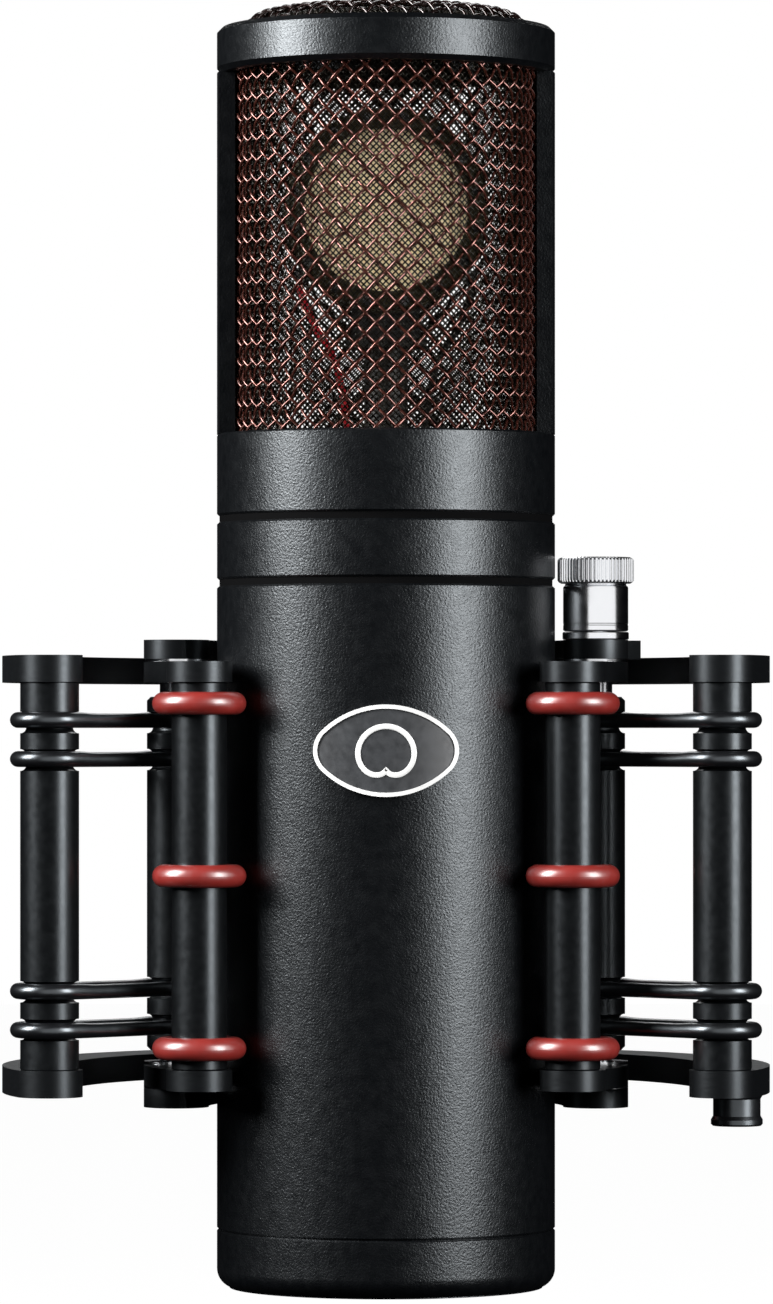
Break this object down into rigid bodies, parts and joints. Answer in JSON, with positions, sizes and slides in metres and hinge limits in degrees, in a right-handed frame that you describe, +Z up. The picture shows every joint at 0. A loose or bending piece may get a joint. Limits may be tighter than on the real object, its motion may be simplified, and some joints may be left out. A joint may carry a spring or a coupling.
{
  "type": "condenser microphone in shock mount",
  "caption": "Side-address large-diaphragm condenser microphone held by rubber rings in an elastic cradle shock mount with a clamp screw and a tilting stand adapter.",
  "frame": {"origin": "centre of the stand socket's mouth, behind the microphone", "axes": "+Z up along the microphone towards its head; -Y towards the sound source, so the badge faces -Y; +X to the right as seen from that side; the microphone's axis is vertical, 84 mm in front of the origin"},
  "size_m": [0.1224, 0.1227, 0.2049],
  "materials": {
    "powder_coat": "satin powder coat with a fine sandy grain",
    "copper_mesh": "woven copper wire, semi-gloss",
    "fine_mesh": "blackened fine woven wire",
    "badge_white": "white enamel",
    "badge_grey": "grey enamel",
    "capsule_brass": "satin, turned",
    "gold_film": "gold-sputtered film",
    "small_steel": "bright",
    "nickel": "nickel plated",
    "black_plastic": "moulded",
    "red_wire": "insulated wire",
    "black_wire": "insulated wire",
    "ivory_plastic": "machined",
    "board_green": "solder mask",
    "component": "sleeved components",
    "anodised_black": "satin black anodised",
    "polished_chrome": "polished",
    "red_silicone": "smooth, semi-gloss",
    "black_rubber": "smooth, glossy",
    "fibre": "matt fibre"
  },
  "bodies": {
    "stand_adapter": {"stand_adapter": "anodised_black", "friction_washers": "fibre"},
    "outer_frame": {"frame_top_plate": "anodised_black", "frame_bottom_plate": "anodised_black", "frame_posts": "anodised_black", "rear_bracket": "anodised_black", "frame_screws": "small_steel", "cable_guide": "black_rubber", "left_bands": "black_rubber", "right_bands": "black_rubber", "tilt_bolt": "small_steel"},
    "tilt_knob": {"tilt_knob": "black_plastic"},
    "cradle": {"cradle_top_plate": "anodised_black", "cradle_bottom_plate": "anodised_black", "left_hinge_pin": "polished_chrome", "right_hinge_pin": "polished_chrome", "band_sleeves": "anodised_black", "hinge_washers": "polished_chrome", "rear_grip_posts": "anodised_black", "rear_grip_rings": "red_silicone", "left_arm_plates": "anodised_black", "left_grip_post": "anodised_black", "left_grip_rings": "red_silicone", "cradle_screws": "small_steel"},
    "right_arm": {"right_arm_plates": "anodised_black", "right_grip_post": "anodised_black", "right_grip_rings": "red_silicone", "right_arm_screws": "small_steel"},
    "clamp_washer": {"clamp_washer": "polished_chrome"},
    "clamp_screw": {"clamp_screw": "polished_chrome"},
    "microphone": {"head_frame": "powder_coat", "collar_ring": "powder_coat", "body_tube": "powder_coat", "bottom_cap": "powder_coat", "outer_mesh": "copper_mesh", "top_mesh": "copper_mesh", "inner_mesh": "fine_mesh", "top_liner": "fine_mesh", "badge_rim": "badge_white", "badge_face": "badge_grey", "capsule_backplate": "capsule_brass", "clamping_rings": "capsule_brass", "diaphragms": "gold_film", "ring_screws": "small_steel", "solder_lugs": "small_steel", "capsule_saddle": "black_plastic", "capsule_post": "nickel", "red_lead": "red_wire", "black_lead": "black_wire", "top_deck": "ivory_plastic", "chassis_rails": "nickel", "front_board": "board_green", "rear_board": "board_green", "board_parts": "component", "chassis_screws": "small_steel", "xlr_carrier": "small_steel", "xlr_insert": "black_plastic", "xlr_pins": "small_steel"}
  },
  "joints": [
    {"name": "stand_tilt", "type": "hinge", "parent": "stand_adapter", "child": "outer_frame", "pos_m": [0, 0, 0.036], "axis": [1, 0, 0], "range_deg": [-75, 20]},
    {"name": "tilt_lock_turn", "type": "hinge", "parent": "outer_frame", "child": "tilt_knob", "pos_m": [0.017, 0, 0.036], "axis": [1, 0, 0], "range_deg": [0, 180]},
    {"name": "suspension", "type": "slide", "parent": "outer_frame", "child": "cradle", "axis": [0, 0, 1], "range_m": [-0.003, 0.003], "stiffness_N_per_m": 2600, "springref_m": 0.00375, "deforming": ["left_bands", "right_bands"]},
    {"name": "right_arm_swing", "type": "hinge", "parent": "cradle", "child": "right_arm", "pos_m": [0.0335, -0.084, 0.036], "axis": [0, 0, 1], "range_deg": [0, 20]},
    {"name": "clamp_lift", "type": "slide", "parent": "cradle", "child": "clamp_washer", "axis": [0, 0, 1], "range_m": [0, 0.000875]},
    {"name": "clamp_turn", "type": "hinge", "parent": "clamp_washer", "child": "clamp_screw", "pos_m": [0.0335, -0.084, 0.08], "axis": [0, 0, 1], "range_deg": [0, 451]},
    {"name": "mic_slide", "type": "slide", "parent": "cradle", "child": "microphone", "axis": [0, 0, 1], "range_m": [-0.016, 0.034]}
  ],
  "couplings": [
    {"joint": "clamp_turn", "follows": "clamp_lift", "rad_per_m": 8976}
  ]
}
